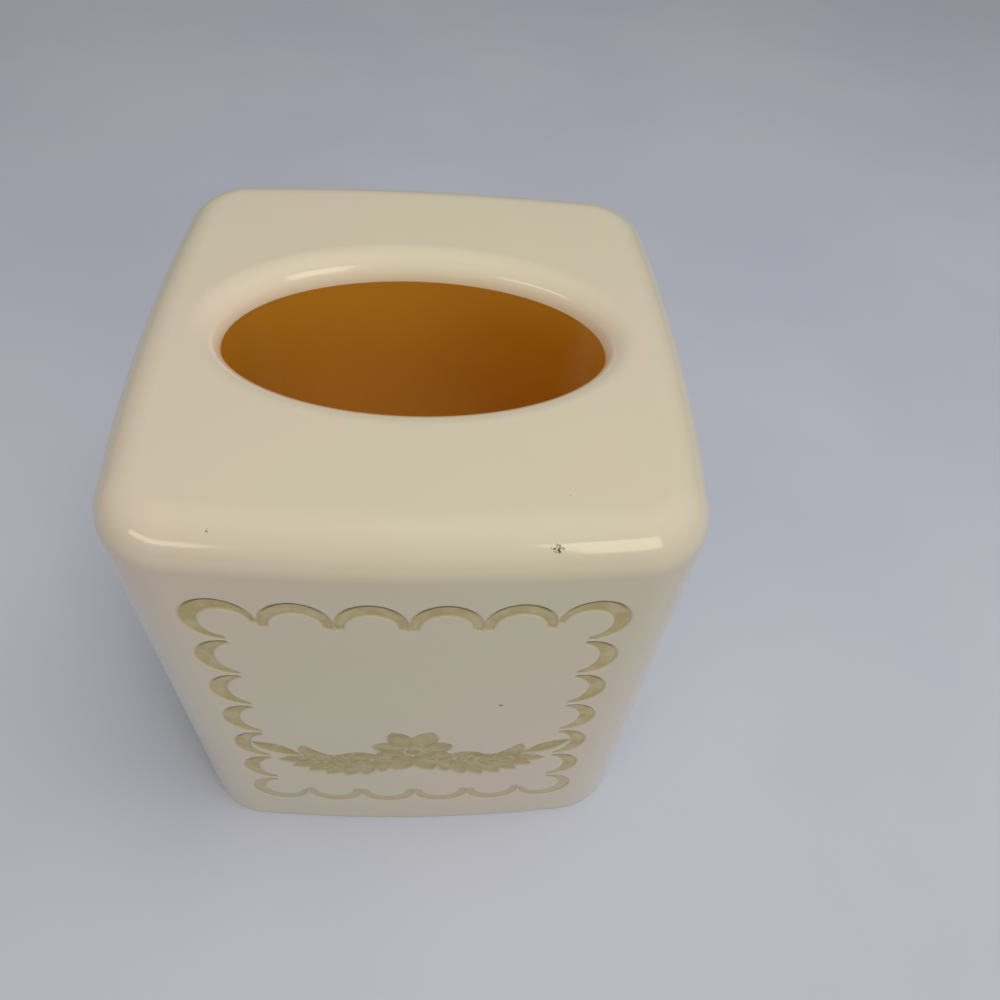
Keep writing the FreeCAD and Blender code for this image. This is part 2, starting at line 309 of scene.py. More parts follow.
@dataclass(frozen=True)
class IvoryPlastic:
    """Glossy ivory moulded plastic, lightly marked outside, with painted amber light inside and a painted
    glow on the lip for light let through.
    """

    cool: Colour = srgb(216, 210, 184)
    warm: Colour = srgb(220, 207, 187)
    mottle_scale: float = 14.0
    # Painted light: the amber inside stands in for light let through and bounced inside the ivory plastic,
    # deeper towards the foot.
    amber: Colour = srgb(250, 206, 92)
    deep_amber: Colour = srgb(246, 188, 12)
    amber_heights: tuple[float, float] = (130 * MM, 30 * MM)
    # Painted glow: emission on the lip and inside, standing in for light let through the plastic.
    lip_glow: Colour = srgb(255, 232, 205)
    glow: Colour = srgb(158, 123, 33)
    deep_glow: Colour = srgb(85, 56, 3)
    glow_strength: float = 0.16
    residue: Colour = srgb(176, 163, 116)
    dirt: Colour = srgb(52, 46, 40)
    roughness: float = 0.1
    dull_roughness: float = 0.16
    polish_scale: float = 60.0
    hairline_roughness: float = 0.24
    hairline_turn: Point = (0.2, 0.1, 0.7)
    hairline_stretch: Point = (30.0, 700.0, 700.0)
    ripple_scale: float = 24.0
    ripple_strength: float = 0.12
    ripple_depth: float = 0.6 * MM
    gloss_coat: float = 0.4
    coat_roughness: float = 0.05
    speck_cells: float = 95.0
    speck_rarity: float = 0.965
    speck_radius: float = 0.045
    scuffs: tuple[Scuff, ...] = ()

    def material(self, effects: Effects) -> bpy.types.Material:
        """Build the finish.

        Args:
            effects: The shared node groups.

        Returns:
            A material that reads the moulding's "inside" and "wash" attributes.
        """
        material, sheet, shader = new_material("ivory_plastic_moulding")
        place = sheet.add("TexCoord").outputs["Object"]
        sheet.feed(shader, "Base Color", self.colour(sheet, place, effects))
        within = sheet.attribute("inside")
        # Painted glow: emission inside, darker towards the foot, and a pale painted glow on the lip, for
        # light let through the plastic.
        glow = sheet.mix(sheet.ramp(sheet.height(place), *self.amber_heights), self.glow, self.deep_glow)
        lip = sheet.mix(sheet.ramp(within, 0.0, LIP_SHARE), srgb(0, 0, 0), self.lip_glow)
        sheet.feed(shader, "Emission Color", sheet.mix(sheet.ramp(within, LIP_SHARE, 1.0), lip, glow))
        shader.inputs["Emission Strength"].default_value = self.glow_strength
        polish = sheet.ramp(sheet.noise(place, self.polish_scale, 2.0), 0.3, 0.7)
        rough = sheet.blend(polish, self.roughness, self.dull_roughness)
        lines = sheet.effect(
            effects[Effect.HAIRLINES], Place=place, Turn=self.hairline_turn, Stretch=self.hairline_stretch
        )
        rough = sheet.add("Mix", {0: lines, 2: rough, 3: self.hairline_roughness}).outputs[0]
        sheet.feed(shader, "Roughness", rough)
        ripple = sheet.noise(place, self.ripple_scale, 1.0)
        sheet.roughen(shader, ripple, self.ripple_strength, self.ripple_depth)
        shader.inputs["Coat Weight"].default_value = self.gloss_coat
        shader.inputs["Coat Roughness"].default_value = self.coat_roughness
        return material

    def colour(self, sheet: NodeSheet, place: Any, effects: Effects) -> bpy.types.NodeSocket:
        """Work out the colour: mottled ivory, painted amber light inside that deepens towards the foot, wash
        residue, specks and scuffs.
        """
        ivory = sheet.effect(
            effects[Effect.MOTTLE], Place=place, First=self.cool, Second=self.warm, Scale=self.mottle_scale
        )
        # Painted light inside: amber for light let through and bounced, deeper and darker towards the foot.
        painted_inside_light = sheet.mix(sheet.ramp(sheet.height(place), *self.amber_heights), self.amber, self.deep_amber)
        colour = sheet.mix(sheet.ramp(sheet.attribute("inside"), LIP_SHARE, 1.0), ivory, painted_inside_light)
        colour = sheet.mix(sheet.attribute("wash"), colour, self.residue)
        marks = sheet.effect(
            effects[Effect.SPECKS],
            Place=place,
            Cells=self.speck_cells,
            Rarity=self.speck_rarity,
            Radius=self.speck_radius,
        )
        for scuff in self.scuffs:
            mark = sheet.effect(effects[Effect.SCUFF], Place=place, Centre=scuff.centre, Reach=scuff.reach)
            marks = sheet.maths("MAXIMUM", marks, mark)
        return sheet.mix(marks, colour, self.dirt)


@dataclass(frozen=True)
class EdgeShadows:
    """Lobes that get painted shade along their upper edges, for the shadow of the groove's upper wall.
    """

    radius: float
    across: float = 0.0
    across_pitch: float = 0.0
    up: float = 0.0
    up_pitch: float = 0.0

    @staticmethod
    def repeated(sheet: NodeSheet, place: Any, pitch: float) -> bpy.types.NodeSocket:
        """Place within one pitch, about its middle."""
        share = sheet.maths("FRACT", sheet.maths("DIVIDE", place, pitch))
        return sheet.maths("MULTIPLY", sheet.maths("SUBTRACT", share, 0.5), pitch)

    def share(self, sheet: NodeSheet, place: Any, effects: Effects) -> bpy.types.NodeSocket:
        """Work out the share of painted edge shade at a place."""
        parts = sheet.add("SeparateXYZ", {0: place}).outputs
        above = sheet.maths("SUBTRACT", parts["Z"], self.up)
        if self.up_pitch:
            above = self.repeated(sheet, above, self.up_pitch)
        if self.across_pitch:
            aside = self.repeated(sheet, parts["X"], self.across_pitch)
        else:
            aside = sheet.maths("SUBTRACT", sheet.maths("ABSOLUTE", parts["X"]), self.across)
        return sheet.effect(effects[Effect.POOL], Aside=aside, Above=above, Radius=self.radius)


@dataclass(frozen=True)
class GoldWash:
    """Dull olive-gold wash on the floors of the grooves, rubbed thin in places, with painted shade under
    upper edges where given.
    """

    name: str = "gold_wash"
    full: Colour = srgb(184, 170, 118)
    thin: Colour = srgb(202, 190, 148)
    worn: Colour = srgb(210, 200, 172)
    worn_heights: tuple[float, float] = (46 * MM, 18 * MM)
    worn_share: float = 0.9
    # Painted shade colour for the lobes' upper edges.
    pooled: Colour = srgb(120, 107, 62)
    pools: EdgeShadows | None = None
    mottle_scale: float = 260.0
    roughness: float = 0.42
    dull_roughness: float = 0.6
    grain_scale: float = 1800.0
    grain_strength: float = 0.2
    grain_depth: float = 0.05 * MM
    metallic: float = 0.12

    def material(self, effects: Effects) -> bpy.types.Material:
        """Build the finish from the shared effects."""
        material, sheet, shader = new_material(self.name)
        place = sheet.add("TexCoord").outputs["Object"]
        colour = sheet.effect(
            effects[Effect.MOTTLE], Place=place, First=self.full, Second=self.thin, Scale=self.mottle_scale
        )
        lowness = sheet.ramp(sheet.height(place), *self.worn_heights)
        wear = sheet.maths("MULTIPLY", lowness, self.worn_share)
        # Painted shade under the lobes' upper edges.
        if self.pools is not None:
            colour = sheet.mix(self.pools.share(sheet, place, effects), colour, self.pooled)
        sheet.feed(shader, "Base Color", sheet.mix(wear, colour, self.worn))
        grain = sheet.noise(place, self.grain_scale, 2.0)
        sheet.feed(shader, "Roughness", sheet.blend(grain, self.roughness, self.dull_roughness))
        sheet.roughen(shader, grain, self.grain_strength, self.grain_depth)
        shader.inputs["Metallic"].default_value = self.metallic
        return material


@dataclass(frozen=True)
class FrameWash(GoldWash):
    """The wash of the scalloped frame, rubbed paler than the garland's."""

    full: Colour = srgb(194, 178, 126)
    thin: Colour = srgb(211, 198, 157)


@dataclass(frozen=True)
class PaleFloor:
    """Plain pale floor with a faint, soft unevenness."""

    shade: Colour = srgb(194, 199, 214)
    other_shade: Colour = srgb(200, 204, 218)
    mottle_scale: float = 6.0
    roughness: float = 0.85

    def material(self, effects: Effects) -> bpy.types.Material:
        """Build the finish from the shared effects."""
        material, sheet, shader = new_material("pale_floor")
        place = sheet.add("TexCoord").outputs["Object"]
        colour = sheet.effect(
            effects[Effect.MOTTLE],
            Place=place,
            First=self.shade,
            Second=self.other_shade,
            Scale=self.mottle_scale,
        )
        sheet.feed(shader, "Base Color", colour)
        shader.inputs["Roughness"].default_value = self.roughness
        return material


@dataclass(frozen=True)
class Crescent:
    """A scallop's outline: an outer arc about its own origin and a flatter inner arc."""

    radius: float
    half_angle: float
    crown: float
    tip: float

    def distance(self, across: np.ndarray, up: np.ndarray) -> np.ndarray:
        """Signed distance to the outline, negative inside.

        The outline is what lies within the outer circle, outside the inner circle and
        between the two radial ends, so the distance is the largest of the three.

        Args:
            across: Places across, from the crescent's origin.
            up: Places towards the crown.

        Returns:
            The distances, as many as there are places.
        """
        spread = math.radians(self.half_angle)
        end = self.radius - self.tip
        end_across, end_up = end * math.sin(spread), end * math.cos(spread)
        inner_crown = self.radius - self.crown
        inner_up = (inner_crown**2 - end**2) / (2.0 * (inner_crown - end_up))
        inner_radius = math.hypot(end_across, end_up - inner_up)
        out = np.abs(across)
        beyond_rim = np.hypot(out, up) - self.radius
        within_hollow = inner_radius - np.hypot(out, up - inner_up)
        past_end = out * math.cos(spread) - up * math.sin(spread)
        return np.maximum(np.maximum(beyond_rim, within_hollow), past_end)


@dataclass(frozen=True)
class Leaf:
    """A pointed leaf between two equal arcs, from its own origin upwards."""

    length: float
    width: float

    def distance(self, across: np.ndarray, up: np.ndarray) -> np.ndarray:
        """Signed distance to the leaf: how far a place lies outside the far side's arc."""
        half_length, half_width = self.length / 2.0, self.width / 2.0
        radius = (half_length**2 + half_width**2) / (2.0 * half_width)
        return np.hypot(np.abs(across) + radius - half_width, up - half_length) - radius


@dataclass(frozen=True)
class Placed:
    """A shape put on the front: its place and its turn, clockwise from up, in degrees."""

    shape: Crescent | Leaf
    across: float
    up: float
    turn: float

    def distance(self, across: np.ndarray, up: np.ndarray) -> np.ndarray:
        """Signed distance to the placed shape, worked out in its own turned frame."""
        turn = math.radians(self.turn)
        aside, above = across - self.across, up - self.up
        own_across = aside * math.cos(turn) - above * math.sin(turn)
        own_up = aside * math.sin(turn) + above * math.cos(turn)
        return self.shape.distance(own_across, own_up)


@dataclass
class ScallopFrame:
    """The scalloped frame: rows above and below, columns at the sides, lobes on the corners."""

    foot_width: float
    height: float
    side_margin: float = 20.8 * MM
    top_margin: float = 18.1 * MM
    bottom: float = 15.5 * MM
    lobes_across: int = 6
    lobes_down: int = 7
    row_gap: float = 0.6 * MM
    row: tuple[float, float, float] = (103.0, 3.2 * MM, 1.4 * MM)
    column_gap: float = 1.6 * MM
    column: tuple[float, float, float] = (96.0, 3.6 * MM, 0.5 * MM)
    corner_gap: float = 0.4 * MM
    corner: tuple[float, float, float] = (134.0, 3.5 * MM, 0.7 * MM)

    @property
    def half_width(self) -> float:
        """Half of the frame's width."""
        return self.foot_width / 2.0 - self.side_margin

    @property
    def top(self) -> float:
        """Height of the frame's upper edge."""
        return self.height - self.top_margin

    @staticmethod
    def places(count: int, pitch: float) -> np.ndarray:
        """Places, about the middle, of the lobes between the two end ones of a side."""
        return (np.arange(1, count - 1) - (count - 1) / 2.0) * pitch

    @property
    def pitches(self) -> tuple[float, float]:
        """Distance from lobe to lobe across and down."""
        return 2.0 * self.half_width / self.lobes_across, (self.top - self.bottom) / self.lobes_down

    def rows(self) -> list[Placed]:
        """Scallops of the upper and the lower row."""
        pitch, _ = self.pitches
        radius = (pitch - self.row_gap) / 2.0
        scallop = Crescent(radius, *self.row)
        places = self.places(self.lobes_across, pitch)
        upper = [Placed(scallop, across, self.top - radius, 0.0) for across in places]
        return upper + [Placed(scallop, across, self.bottom + radius, 180.0) for across in places]

    def columns(self, side: Side) -> list[Placed]:
        """Scallops of one of the two columns."""
        _, pitch = self.pitches
        radius = (pitch - self.column_gap) / 2.0
        scallop = Crescent(radius, *self.column)
        across = side.value * (self.half_width - radius)
        middle = (self.top + self.bottom) / 2.0
        places = self.places(self.lobes_down, pitch)
        return [Placed(scallop, across, middle + place, side.value * 90.0) for place in places]

    def corners(self) -> list[Placed]:
        """The four lobes on the corners, each thickest on its outer diagonal."""
        radius = (min(self.pitches) - self.corner_gap) / 2.0
        lobe = Crescent(radius, *self.corner)
        across, high, low = self.half_width - radius, self.top - radius, self.bottom + radius
        turns = {(1, high): 45.0, (1, low): 135.0, (-1, low): 225.0, (-1, high): 315.0}
        return [Placed(lobe, side * across, up, turn) for (side, up), turn in turns.items()]

    def pools(self) -> dict[str, EdgeShadows]:
        """Where painted shade runs under the upper edges on the upper row, the columns and the upper
        corners, by node.
        """
        across_pitch, up_pitch = self.pitches
        row = (across_pitch - self.row_gap) / 2.0
        column = (up_pitch - self.column_gap) / 2.0
        corner = (min(self.pitches) - self.corner_gap) / 2.0
        beside = EdgeShadows(column, across=self.half_width - column, up=self.bottom, up_pitch=up_pitch)
        return {
            "gilt_scallops_top": EdgeShadows(row, across_pitch=across_pitch, up=self.top - row),
            "gilt_scallops_left": beside,
            "gilt_scallops_right": beside,
            "gilt_corner_lobes": EdgeShadows(corner, across=self.half_width - corner, up=self.top - corner),
        }

    def distance(self, across: np.ndarray, up: np.ndarray) -> np.ndarray:
        """Signed distance to the whole frame: the least of the distances to its scallops."""
        scallops = self.rows() + self.columns(Side.LEFT) + self.columns(Side.RIGHT) + self.corners()
        return np.min([scallop.distance(across, up) for scallop in scallops], axis=0)


@dataclass
class Garland:
    """A flower and two leaf swags, hung between the columns of the frame."""

    frame: ScallopFrame
    flower_rise: float = 37.0 * MM
    eye_radius: float = 1.9 * MM
    petal_count: int = 8
    petal_root: float = 2.7 * MM
    petal_width: float = 6.2 * MM
    tall_reach: float = 13.2 * MM
    side_reach: float = 11.0 * MM
    swag_start: float = 9.0 * MM
    swag_end_margin: float = 15.9 * MM
    swag_drop: float = 8.5 * MM
    swag_rise: float = 5.4 * MM
    leaf_spacing: float = 3.1 * MM
    leaf_length: float = 10.4 * MM
    leaf_width: float = 4.4 * MM
    outer_leaf_size: float = 0.8
    end_leaf_length: float = 13.0 * MM
    end_leaf_sag: float = 14.0
    leaf_splay: float = 46.0
    vein: float = 0.3 * MM

    @property
    def height(self) -> float:
        """Height of the flower's eye above the foot."""
        return self.frame.bottom + self.flower_rise

    def petals(self) -> list[Placed]:
        """Petals, the upper and lower ones reaching further than those at the sides."""
        turns = (np.arange(self.petal_count) + 0.5) * 360.0 / self.petal_count
        petals = []
        for turn in turns:
            aside, above = math.sin(math.radians(turn)), math.cos(math.radians(turn))
            reach = self.tall_reach if abs(above) > math.sqrt(0.5) else self.side_reach
            leaf = Leaf(reach - self.petal_root, self.petal_width)
            petals.append(Placed(leaf, self.petal_root * aside, self.height + self.petal_root * above, turn))
        return petals

    def leaves(self, side: Side) -> list[Placed]:
        """Leaves of one swag, from its tip inwards, in pairs along a parabola that sags."""
        end = self.frame.half_width - self.swag_end_margin
        middle, half_span = (self.swag_start + end) / 2.0, (end - self.swag_start) / 2.0
        stations = round(2.0 * half_span / self.leaf_spacing)
        leaves = []
        for along in np.arange(stations, -1, -1) / stations:
            lean = 2.0 * along - 1.0
            across = side.value * (middle + half_span * lean)
            up = self.height - self.swag_drop + self.swag_rise * lean**2
            heading = 90.0 - math.degrees(math.atan(2.0 * self.swag_rise * lean / half_span))
            size = 1.0 - (1.0 - self.outer_leaf_size) * along
            leaf = Leaf(self.leaf_length * size, self.leaf_width * size)
            turns = [heading - self.leaf_splay, heading + self.leaf_splay]
            if along == 1.0:
                leaf, turns = Leaf(self.end_leaf_length, self.leaf_width), [heading + self.end_leaf_sag]
            leaves += [Placed(leaf, across, up, side.value * turn) for turn in turns]
        return leaves

    def distance(self, across: np.ndarray, up: np.ndarray) -> np.ndarray:
        """Signed distance to the garland.

        Each petal and leaf is cut back by a vein from those that lie over it, so its own
        distance is the larger of the two. The garland's is the least of them.

        Args:
            across: Places across the front.
            up: Places up the front.

        Returns:
            The distances, as many as there are places.
        """
        eye = np.hypot(across, up - self.height) - self.eye_radius
        flower = self.overlay([eye], self.petals(), across, up)
        found = [flower]
        for side in Side:
            column = np.min([c.distance(across, up) for c in self.frame.columns(side)], axis=0)
            swag = self.overlay([flower, column], self.leaves(side), across, up)
            found.append(swag)
        return np.min(found + [eye], axis=0)

    def overlay(
        self, covers: list[np.ndarray], leaves: list[Placed], across: np.ndarray, up: np.ndarray
    ) -> np.ndarray:
        """Signed distance to leaves that lie one under another.

        Args:
            covers: Distances to what lies over all the leaves.
            leaves: The leaves, each over those after it.
            across: Places across the front.
            up: Places up the front.

        Returns:
            The least of the distances to the leaves as they are cut back.
        """
        cover = np.min(covers, axis=0)
        least = np.full_like(across, np.inf)
        for leaf in leaves:
            own = leaf.distance(across, up)
            least = np.minimum(least, np.maximum(own, self.vein - cover))
            cover = np.minimum(cover, own)
        return least


@dataclass
class Relief:
    """Grooves of the ornament: flanks at 45 degrees with a soft rim, down to a flat floor."""

    frame: ScallopFrame
    garland: Garland
    rim: float = 0.3 * MM
    floor: float = 0.6 * MM
    softness: float = 0.1 * MM
    frame_spill: float = 0.45 * MM
    garland_spill: float = 0.9 * MM

    def depth(self, across: np.ndarray, up: np.ndarray) -> np.ndarray:
        """Depth of the grooves: how far a place lies within the rim, at most the floor's depth.

        The rim is rounded by a parabola over twice the softness.

        Args:
            across: Places across the front.
            up: Places up the front.

        Returns:
            The depths, 0 outside the grooves.
        """
        nearest = np.minimum(self.frame.distance(across, up), self.garland.distance(across, up))
        within = self.rim - nearest
        rounded = (within + self.softness) ** 2 / (4.0 * self.softness)
        flank = np.where(within > self.softness, within, rounded)
        return np.clip(np.where(within < -self.softness, 0.0, flank), 0.0, self.floor)

    def spilt(self, across: np.ndarray, up: np.ndarray) -> np.ndarray:
        """Share of wash left beside the grooves, which fades with the distance from them."""
        frame = self.frame.distance(across, up) / self.frame_spill
        garland = self.garland.distance(across, up) / self.garland_spill
        return 1.0 - np.clip(np.minimum(frame, garland), 0.0, 1.0)


@dataclass
class Ring:
    """Rings of the cover's profile, as arrays with one entry to a ring."""

    plan: np.ndarray
    mouth: np.ndarray
    wall: np.ndarray
    height: np.ndarray
    lean: np.ndarray
    inside: np.ndarray

    @classmethod
    def join(cls, parts: list["Ring"]) -> "Ring":
        """Put stretches of the profile one after another."""
        names = cls.__dataclass_fields__
        return cls(*(np.concatenate([getattr(part, name) for part in parts]) for name in names))


class Plan(Enum):
    """The two plan curves that a ring can follow."""

    MOUTH = 0.0
    WALL = 1.0


def stretch(plan: Plan, reach: Any, height: Any, lean: Any, inside: Any) -> Ring:
    """Rings on one plan curve.

    Args:
        plan: The plan curve that they follow.
        reach: Distance out from the mouth's edge, or half width of the wall's plan.
        height: Heights above the foot.
        lean: Angle of the normal above the outward direction, in radians.
        inside: 1 on the cover's inside, 0 on its outside.

    Returns:
        The rings, as many as the longest of the arguments.
    """
    reach, height, lean, inside = np.broadcast_arrays(*map(np.atleast_1d, (reach, height, lean, inside)))
    other = np.zeros_like(reach, dtype=float)
    mouth, wall = (reach, other) if plan is Plan.MOUTH else (other, reach)
    return Ring(np.full(len(reach), plan.value), mouth, wall, height, lean, inside)


def bend(
    plan: Plan,
    reach: float,
    height: float,
    radius: float,
    leans: tuple[float, float],
    count: int,
    inside: Any,
) -> Ring:
    """Rings round an arc of the profile; a bend whose lean grows is hollow.

    Args:
        plan: The plan curve that they follow.
        reach: Reach of the arc's centre.
        height: Height of the arc's centre.
        radius: Radius of the arc.
        leans: First and last angle of the normal, in degrees.
        count: Number of rings, both ends included.
        inside: 1 on the cover's inside, 0 on its outside.

    Returns:
        The rings.
    """
    lean = np.radians(np.linspace(*leans, count))
    side = radius if leans[1] < leans[0] else -radius
    return stretch(plan, reach + side * np.cos(lean), height + side * np.sin(lean), lean, inside)


def flat(mouth: float, wall: float, height: float, shares: np.ndarray, lean: float, inside: float) -> Ring:
    """Level rings between the mouth's plan curve and the wall's, at shares of the way."""
    full = np.ones_like(shares)
    return Ring(shares, mouth * full, wall * full, height * full, math.radians(lean) * full, inside * full)


@dataclass
class CoverShell:
    """The cover's moulding: walls, top, turned-down lip and the sunk ornament."""

    foot_width: float
    height: float
    relief: Relief
    draft_deg: float = 1.2
    side_radius: float = 510.0 * MM
    corner_radius: float = 20.0 * MM
    top_round: float = 10.5 * MM
    foot_round: float = 0.8 * MM
    wall: float = 3.0 * MM
    top_wall: float = 3.0 * MM
    mouth_side_margin: float = 18.9 * MM
    mouth_front_margin: float = 38.7 * MM
    lip_round: float = 6.5 * MM
    lip_land: float = 0.7 * MM
    lip_wall: float = 3.0 * MM
    edge_round: float = 0.35 * MM
    panel_step: float = 0.46 * MM
    panel_margin: float = 0.9 * MM
    coarse_stride: int = 24

    def __post_init__(self) -> None:
        """Work out the sizes that follow from the fields."""
        self.draft = math.radians(self.draft_deg)
        self.slope = math.tan(self.draft)
        self.foot_half = self.foot_width / 2.0
        self.side_offset = self.side_radius - self.foot_half
        reach = self.side_radius - self.corner_radius
        self.corner_place = (math.sqrt(2.0 * reach**2 - self.side_offset**2) - self.side_offset) / 2.0
        self.side_turn = math.atan2(self.corner_place, self.corner_place + self.side_offset)
        top_half = self.foot_half - self.height * self.slope
        self.mouth_half = np.array((top_half - self.mouth_side_margin, top_half - self.mouth_front_margin))
        frame = self.relief.frame
        self.panel_half = frame.half_width + self.panel_margin
        self.panel_heights = (frame.top + self.panel_margin, frame.bottom - self.panel_margin)

    def half_at(self, height: Any, inset: float = 0.0) -> Any:
        """Half width of the drafted wall at a height, moved in by an inset."""
        return self.foot_half - inset - height * self.slope

    def rolled(self, height: float, radius: float, inset: float) -> float:
        """Half width at the centre of a round that meets the drafted wall, at the centre's height."""
        touch = height + radius * math.sin(self.draft)
        return self.half_at(touch, inset) - radius * math.cos(self.draft)

    def profile(self) -> tuple[Ring, slice]:
        """Rings of the closed profile, from the lip over the top, down the wall and back inside.

        Returns:
            The rings, and the slice of them that crosses the ornament.
        """
        edge, draft = self.edge_round, self.draft_deg
        lip_bottom = self.height - self.lip_round - self.lip_land
        cavity_top = self.height - self.top_wall
        roof_round, collar_round = self.top_round - self.wall, self.lip_round - self.lip_wall
        top_centre = self.height - self.top_round
        roof_centre = cavity_top - roof_round
        top_half = self.rolled(top_centre, self.top_round, 0.0)
        roof_half = self.rolled(roof_centre, roof_round, self.wall)
        foot_half = self.rolled(self.foot_round, self.foot_round, 0.0)
        inner_foot = self.half_at(edge, self.wall) + edge
        high, low = self.panel_heights
        steps = round((high - low) / self.panel_step)
        above = np.linspace(top_centre, high, 4)[1:-1]
        panel = np.linspace(high, low, steps + 1)
        below = np.linspace(low, self.foot_round, 5)[1:-1]
        bore = np.linspace(edge, roof_centre, 14)[1:-1]
        over = np.linspace(0.0, 1.0, 9)[1:-1]
        # The inside share of each ring places the painted amber light inside and the painted glow on the
        # lip.
        outer = [
            bend(
                Plan.MOUTH, self.lip_round, self.height - self.lip_round, self.lip_round, (180, 90), 14,
                np.linspace(LIP_SHARE, 0.0, 14),
            ),
            flat(self.lip_round, top_half, self.height, over, 90, 0),
            bend(Plan.WALL, top_half, top_centre, self.top_round, (90, draft), 18, 0),
            stretch(Plan.WALL, self.half_at(above), above, self.draft, 0),
        ]
        rows_above = sum(len(part.plan) for part in outer)
        rest = [
            stretch(Plan.WALL, self.half_at(panel), panel, self.draft, 0),
            stretch(Plan.WALL, self.half_at(below), below, self.draft, 0),
            bend(Plan.WALL, foot_half, self.foot_round, self.foot_round, (draft, -90), 6, 0),
            bend(Plan.WALL, inner_foot, edge, edge, (-90, draft - 180), 4, np.linspace(0.0, 0.6, 4)),
            stretch(Plan.WALL, self.half_at(bore, self.wall), bore, self.draft - math.pi, 1),
            bend(Plan.WALL, roof_half, roof_centre, roof_round, (draft - 180, -90), 9, 1),
            flat(self.lip_wall + collar_round, roof_half, cavity_top, over[::-1], -90, 1),
            bend(Plan.MOUTH, self.lip_round, cavity_top - collar_round, collar_round, (-90, 0), 7, 1),
            bend(Plan.MOUTH, self.lip_wall - edge, lip_bottom + edge, edge, (0, -90), 4, 1),
            bend(
                Plan.MOUTH, edge, lip_bottom + edge, edge, (-90, -180), 4,
                np.linspace(1.0, LIP_SHARE, 4),
            ),
        ]
        return Ring.join(outer + rest), slice(rows_above, rows_above + steps + 1)

    def headings(self) -> tuple[np.ndarray, int]:
        """Outward headings of the plan's columns, counterclockwise from the panel's left edge.

        Heading 0 faces the front. The panel's columns are evenly spaced across it, and the
        other sides and corners have a few each.

        Returns:
            The headings, and the number of columns on the panel.
        """
        quarter = math.pi / 2.0
        count = round(2.0 * self.panel_half / self.panel_step) + 1
        across = np.linspace(-self.panel_half, self.panel_half, count)
        on_corner = np.clip((np.abs(across) - self.corner_place) / self.corner_radius, 0.0, 1.0)
        on_side = np.arcsin(np.abs(across) / self.side_radius)
        panel = np.sign(across) * np.where(on_side < self.side_turn, on_side, np.arcsin(on_corner))
        near = np.linspace(panel[-1], quarter - self.side_turn, 18)[1:-1]
        corner = np.linspace(self.side_turn, quarter - self.side_turn, 20)[1:-1]
        side = np.linspace(-self.side_turn, self.side_turn, 15)
        spans = [panel, near]
        for turns in (1, 2, 3):
            spans.append(turns * quarter + side)
            spans.append(turns * quarter + (corner if turns < 3 else quarter - near[::-1]))
        return np.concatenate(spans), count

    def outline(self, heading: np.ndarray) -> tuple[np.ndarray, np.ndarray]:
        """Points of the foot's plan by the headings of their normals.

        Each side is a shallow arc about a far centre, and the corner arcs touch the sides.

        Args:
            heading: Headings in radians, 0 to the front and growing to the right.

        Returns:
            The points and their outward directions.
        """
        quarter = np.round(heading / (math.pi / 2.0)) * math.pi / 2.0
        aside = heading - quarter
        ahead = np.stack((np.sin(quarter), -np.cos(quarter)), axis=1)
        right = np.stack((np.cos(quarter), np.sin(quarter)), axis=1)
        direction = np.stack((np.sin(heading), -np.cos(heading)), axis=1)
        on_side = (np.abs(aside) <= self.side_turn)[:, None]
        corner = self.corner_place * (ahead + np.sign(aside)[:, None] * right)
        centre = np.where(on_side, -self.side_offset * ahead, corner)
        radius = np.where(on_side, self.side_radius, self.corner_radius)
        return centre + radius * direction, direction

    def surface(self) -> tuple[np.ndarray, np.ndarray, np.ndarray, np.ndarray, slice, int]:
        """Points and normals of the whole grid, ring by ring.

        A point lies on the mouth's ellipse, pushed out along the ellipse's normal, or on the
        wall's plan, drawn in along the plan's normal, or on the straight way between the two.
        On the panel it is then sunk along its normal by the depth of the ornament, and the
        normal leans by the slope of that depth.

        Returns:
            Points, normals, share of inside and share of wash over rings and columns, the
            slice of rings on the panel and the number of columns on it.
        """
        ring, panel = self.profile()
        headings, on_panel = self.headings()
        outline, directions = self.outline(headings)
        angle = np.arctan2(outline[:, 1], outline[:, 0])
        circle = np.stack((np.cos(angle), np.sin(angle)), axis=1)
        oval = circle * self.mouth_half
        oval_out = circle / self.mouth_half
        oval_out /= np.linalg.norm(oval_out, axis=1, keepdims=True)
        share = ring.plan[:, None, None]
        at_mouth = oval + ring.mouth[:, None, None] * oval_out
        at_wall = outline + (ring.wall[:, None, None] - self.foot_half) * directions
        outward = (1.0 - share) * oval_out + share * directions
        shape = outward.shape[:2]
        height = np.broadcast_to(ring.height[:, None], shape)
        lean = np.broadcast_to(ring.lean[:, None], shape)
        points = np.dstack(((1.0 - share) * at_mouth + share * at_wall, height))
        normals = np.dstack((outward * np.cos(lean)[..., None], np.sin(lean)))
        inside = np.broadcast_to(ring.inside[:, None], shape)
        wash = np.zeros(shape)
        patch = (panel, slice(0, on_panel))
        points[patch], normals[patch], wash[patch] = self.sink(points[patch], normals[patch])
        return points, normals, inside, wash, panel, on_panel

    def sink(self, points: np.ndarray, normals: np.ndarray) -> tuple[np.ndarray, np.ndarray, np.ndarray]:
        """Sink the panel by the ornament's depth.

        Args:
            points: Points of the plain panel over rings and columns.
            normals: Its normals.

        Returns:
            The sunk points, their normals and the share of wash left on and beside the flanks.
        """
        across = points[..., 0]
        back = points[..., 1] + self.foot_half
        up = points[..., 2] * math.cos(self.draft) + back * math.sin(self.draft)
        depth = self.relief.depth(across, up)
        leaning = normals.copy()
        for axis in (0, 1):
            step = np.gradient(points, axis=axis)
            length = np.linalg.norm(step, axis=2, keepdims=True)
            slope = np.gradient(depth, axis=axis)[..., None] / length
            leaning += slope * step / length
        leaning /= np.linalg.norm(leaning, axis=2, keepdims=True)
        return points - depth[..., None] * normals, leaning, self.relief.spilt(across, up)

